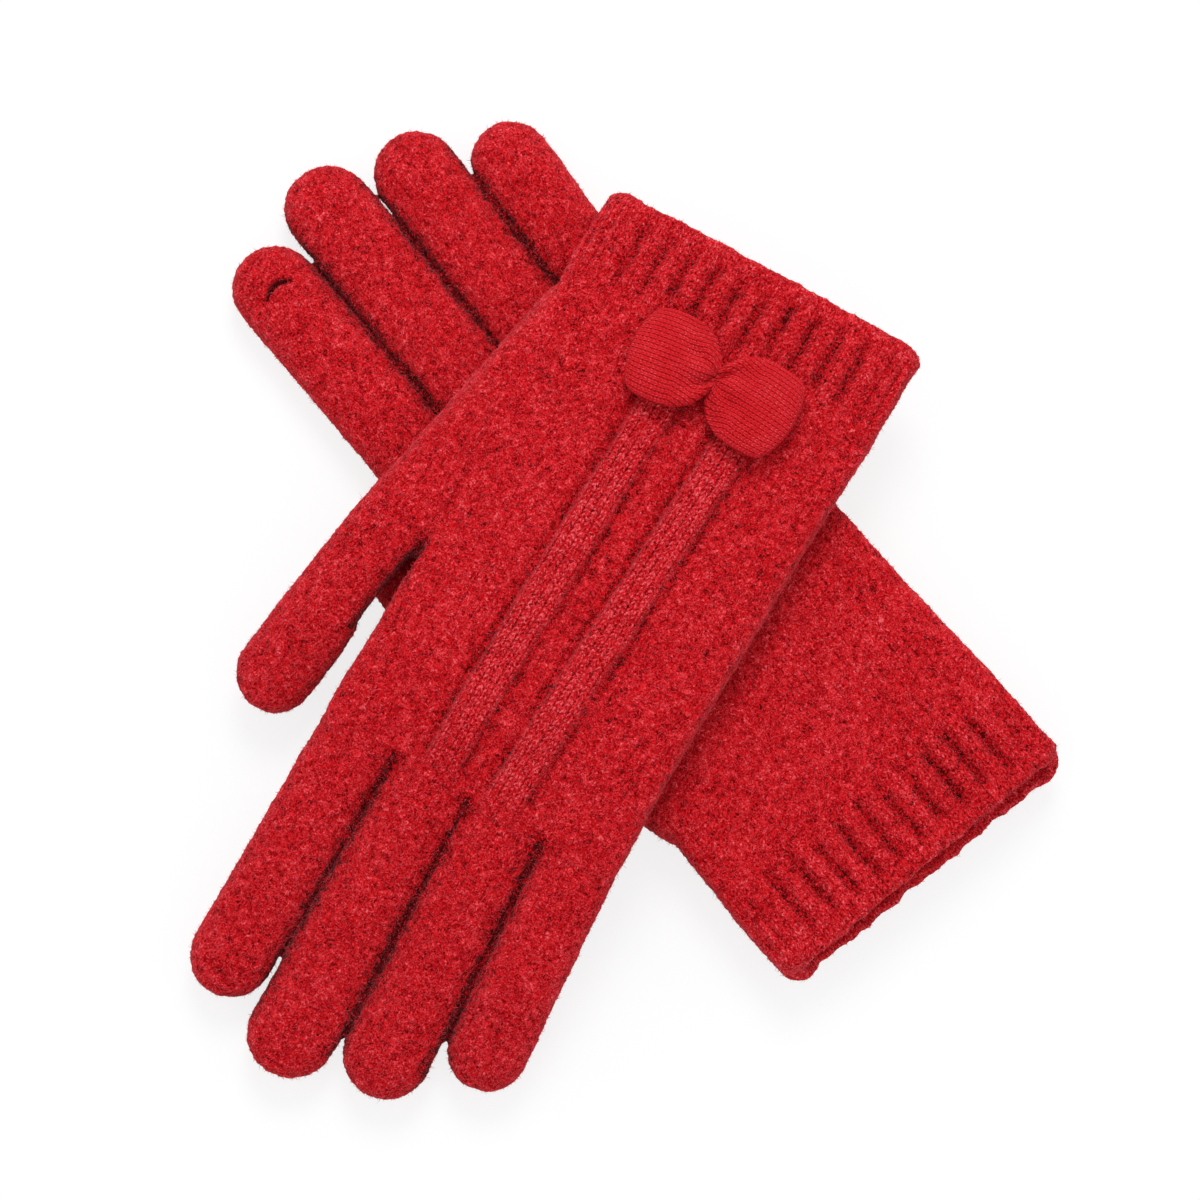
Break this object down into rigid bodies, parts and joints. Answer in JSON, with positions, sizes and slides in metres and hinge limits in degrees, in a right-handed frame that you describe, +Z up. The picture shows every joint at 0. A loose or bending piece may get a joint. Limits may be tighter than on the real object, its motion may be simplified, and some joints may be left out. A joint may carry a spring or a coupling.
{
  "type": "knitted gloves",
  "caption": "Pair of knitted gloves with ribbed cuffs, a small bow on the back and a fingertip slit, one laid across the other.",
  "frame": {"origin": "middle of the pair's bounding box, on the surface that the pair lies on", "axes": "+Z up from the table; the upper glove's fingers point along -Y and its thumb towards -X"},
  "size_m": [0.2416, 0.243, 0.037],
  "materials": {
    "brushed_knit": "brushed wool blend knit, matt with a soft nap",
    "rib_knit": "ribbed wool blend knit, matt",
    "bow_jersey": "fine jersey knit, matt",
    "sewing_yarn": "twisted yarn",
    "fleece_lining": "short fleece",
    "elastic_yarn": "covered elastic thread"
  },
  "bodies": {
    "lower_hand": {"lower_bow_loop_little_side": "bow_jersey", "lower_bow_loop_thumb_side": "bow_jersey", "lower_bow_tacks": "sewing_yarn", "lower_bow_wrap": "sewing_yarn", "lower_cuff_elastic": "elastic_yarn", "lower_cuff_hem": "rib_knit", "lower_cuff_rib": "rib_knit", "lower_hand_knit": "brushed_knit", "lower_hand_lining": "fleece_lining"},
    "lower_index_end": {"lower_index_knit": "brushed_knit", "lower_index_lining": "fleece_lining"},
    "lower_middle_end": {"lower_middle_knit": "brushed_knit", "lower_middle_lining": "fleece_lining"},
    "lower_ring_end": {"lower_ring_knit": "brushed_knit", "lower_ring_lining": "fleece_lining"},
    "lower_little_end": {"lower_little_knit": "brushed_knit", "lower_little_lining": "fleece_lining"},
    "lower_thumb": {"lower_thumb_knit": "brushed_knit", "lower_thumb_lining": "fleece_lining"},
    "upper_hand": {"upper_bow_loop_little_side": "bow_jersey", "upper_bow_loop_thumb_side": "bow_jersey", "upper_bow_tacks": "sewing_yarn", "upper_bow_wrap": "sewing_yarn", "upper_cuff_elastic": "elastic_yarn", "upper_cuff_hem": "rib_knit", "upper_cuff_rib": "rib_knit", "upper_hand_knit": "brushed_knit", "upper_hand_lining": "fleece_lining"},
    "upper_index_end": {"upper_index_knit": "brushed_knit", "upper_index_lining": "fleece_lining"},
    "upper_middle_end": {"upper_middle_knit": "brushed_knit", "upper_middle_lining": "fleece_lining"},
    "upper_ring_end": {"upper_ring_knit": "brushed_knit", "upper_ring_lining": "fleece_lining"},
    "upper_little_end": {"upper_little_knit": "brushed_knit", "upper_little_lining": "fleece_lining"},
    "upper_thumb": {"upper_thumb_knit": "brushed_knit", "upper_thumb_lining": "fleece_lining"}
  },
  "joints": [
    {"name": "lift_upper_glove", "type": "slide", "parent": "lower_hand", "child": "upper_hand", "axis": [0, 0, 1], "range_m": [0, 0.09]},
    {"name": "lower_index_curl", "type": "hinge", "parent": "lower_hand", "child": "lower_index_end", "pos_m": [-0.07152, 0.03857, 0.00742], "axis": [0.3567, 0.9342, -0.0001], "range_deg": [0, 75]},
    {"name": "lower_middle_curl", "type": "hinge", "parent": "lower_hand", "child": "lower_middle_end", "pos_m": [-0.06524, 0.06038, 0.00737], "axis": [0.3762, 0.9265, 0.0004], "range_deg": [0, 75]},
    {"name": "lower_ring_curl", "type": "hinge", "parent": "lower_hand", "child": "lower_ring_end", "pos_m": [-0.0618, 0.0831, 0.00727], "axis": [0.4019, 0.9157, 0.001], "range_deg": [0, 75]},
    {"name": "lower_little_curl", "type": "hinge", "parent": "lower_hand", "child": "lower_little_end", "pos_m": [-0.0588, 0.10457, 0.00716], "axis": [0.4273, 0.9041, 0.0016], "range_deg": [0, 75]},
    {"name": "lower_thumb_swing", "type": "hinge", "parent": "lower_hand", "child": "lower_thumb", "pos_m": [-0.0073, -0.00883, 0.0091], "axis": [-0.0643, 0.0248, 0.9976], "range_deg": [0, 12]},
    {"name": "upper_index_curl", "type": "hinge", "parent": "upper_hand", "child": "upper_index_end", "pos_m": [-0.03291, -0.06248, 0.01454], "axis": [0.9995, -0.0275, 0.0157], "range_deg": [-45, 75]},
    {"name": "upper_middle_curl", "type": "hinge", "parent": "upper_hand", "child": "upper_middle_end", "pos_m": [-0.01115, -0.06446, 0.01465], "axis": [0.9998, -0.0034, 0.0198], "range_deg": [-45, 75]},
    {"name": "upper_ring_curl", "type": "hinge", "parent": "upper_hand", "child": "upper_ring_end", "pos_m": [0.01091, -0.06938, 0.01427], "axis": [0.9993, 0.0275, 0.025], "range_deg": [-45, 75]},
    {"name": "upper_little_curl", "type": "hinge", "parent": "upper_hand", "child": "upper_little_end", "pos_m": [0.03228, -0.07428, 0.01388], "axis": [0.9984, 0.0482, 0.0284], "range_deg": [-45, 75]},
    {"name": "upper_thumb_swing", "type": "hinge", "parent": "upper_hand", "child": "upper_thumb", "pos_m": [-0.05121, 0.0109, 0.02185], "axis": [0.0486, 0.1461, -0.9881], "range_deg": [-6, 25]}
  ]
}
